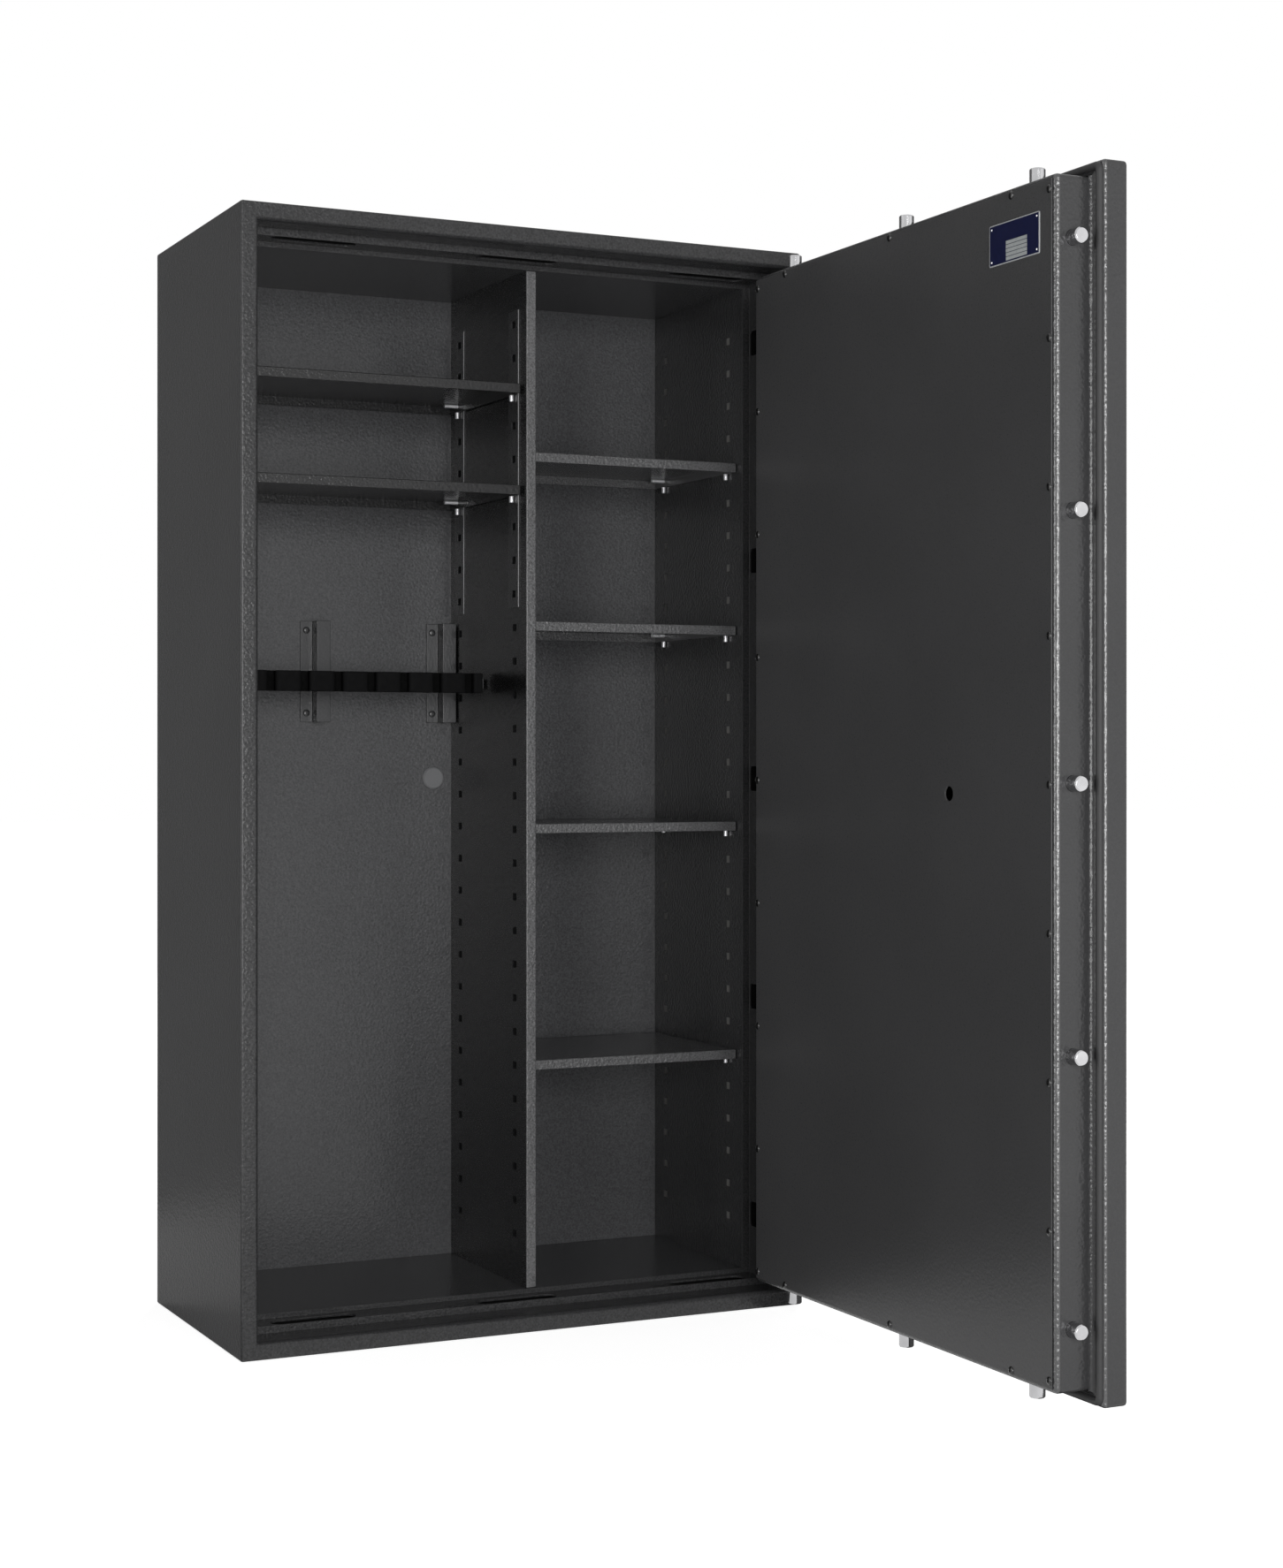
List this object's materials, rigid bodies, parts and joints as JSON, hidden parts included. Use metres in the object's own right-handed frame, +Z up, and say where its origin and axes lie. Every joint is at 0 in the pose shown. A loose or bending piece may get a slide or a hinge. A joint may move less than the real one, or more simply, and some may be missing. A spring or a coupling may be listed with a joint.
{
  "type": "gun safe",
  "caption": "Tall steel gun safe with a thick flush door standing open, bolts round the door edges, shelves, a divider and a long-gun bay with a barrel strap.",
  "frame": {"origin": "middle of the base, on the floor", "axes": "+X to the right seen from the front, +Y to the back, +Z up"},
  "size_m": [0.926, 1.241, 1.58],
  "materials": {
    "graphite_paint": "graphite textured paint",
    "bolt_chrome": "bright plated",
    "plain_steel": "satin",
    "black_rubber": "matt",
    "black_webbing": "woven",
    "plug_plastic": "satin grey",
    "fire_filler": "rough, hidden"
  },
  "bodies": {
    "carcass": {"outer_casing": "graphite_paint", "bolt_frame": "graphite_paint", "fire_filler": "fire_filler", "liner_left": "graphite_paint", "liner_right": "graphite_paint", "liner_back": "graphite_paint", "liner_top": "graphite_paint", "liner_bottom": "graphite_paint", "anchor_plug": "plug_plastic", "divider": "graphite_paint", "strip_left_front": "graphite_paint", "strip_left_rear": "graphite_paint", "strip_divider_front": "graphite_paint", "strip_divider_rear": "graphite_paint", "shelf_left_1": "graphite_paint", "shelf_left_2": "graphite_paint", "shelf_right_1": "graphite_paint", "shelf_right_2": "graphite_paint", "shelf_right_3": "graphite_paint", "shelf_right_4": "graphite_paint", "barrel_strap": "black_webbing", "rack_bracket_left": "graphite_paint", "rack_bracket_right": "graphite_paint", "hinge_bracket_lower": "plain_steel", "hinge_bracket_upper": "plain_steel", "hinge_pin_lower": "plain_steel", "hinge_pin_upper": "plain_steel"},
    "door": {"door_front_plate": "graphite_paint", "door_box": "graphite_paint", "door_cover": "graphite_paint", "door_seal": "black_rubber", "hinge_arm_lower": "plain_steel", "hinge_arm_upper": "plain_steel", "fixed_bolt_1": "bolt_chrome", "fixed_bolt_2": "bolt_chrome", "fixed_bolt_3": "bolt_chrome", "fixed_bolt_4": "bolt_chrome", "fixed_bolt_5": "bolt_chrome", "handle_rosette": "plain_steel", "lock_case": "plain_steel", "key_escutcheon": "plain_steel"},
    "handle": {"door_handle": "plain_steel", "drive_disc": "plain_steel"},
    "side_bolts": {"side_bolt_1": "bolt_chrome", "side_bolt_2": "bolt_chrome", "side_bolt_3": "bolt_chrome", "side_bolt_4": "bolt_chrome", "side_bolt_5": "bolt_chrome", "side_bolt_bar": "plain_steel"},
    "top_bolts": {"top_bolt_1": "bolt_chrome", "top_bolt_2": "bolt_chrome", "top_bolt_3": "bolt_chrome", "top_bolt_bar": "plain_steel"},
    "base_bolts": {"base_bolt_1": "bolt_chrome", "base_bolt_2": "bolt_chrome", "base_bolt_3": "bolt_chrome", "base_bolt_bar": "plain_steel"},
    "key_cover": {"key_cover": "plain_steel"}
  },
  "joints": [
    {"name": "door_swing", "type": "hinge", "parent": "carcass", "child": "door", "pos_m": [0.422, -0.199, 0], "axis": [0, 0, 1], "range_deg": [-90, 0]},
    {"name": "handle_turn", "type": "hinge", "parent": "door", "child": "handle", "pos_m": [0.438, -0.769, 0.91], "axis": [-1, 0, 0], "range_deg": [0, 90]},
    {"name": "side_bolt_slide", "type": "slide", "parent": "door", "child": "side_bolts", "axis": [0, 1, 0], "range_m": [0, 0.02]},
    {"name": "top_bolt_slide", "type": "slide", "parent": "door", "child": "top_bolts", "axis": [0, 0, -1], "range_m": [0, 0.02]},
    {"name": "base_bolt_slide", "type": "slide", "parent": "door", "child": "base_bolts", "axis": [0, 0, 1], "range_m": [0, 0.02]},
    {"name": "key_cover_swing", "type": "hinge", "parent": "door", "child": "key_cover", "pos_m": [0.438, -0.769, 0.799], "axis": [-1, 0, 0], "range_deg": [0, 90]}
  ],
  "couplings": [
    {"joint": "side_bolt_slide", "follows": "handle_turn", "m_per_rad": 0.01273},
    {"joint": "top_bolt_slide", "follows": "handle_turn", "m_per_rad": 0.01273},
    {"joint": "base_bolt_slide", "follows": "handle_turn", "m_per_rad": 0.01273}
  ]
}
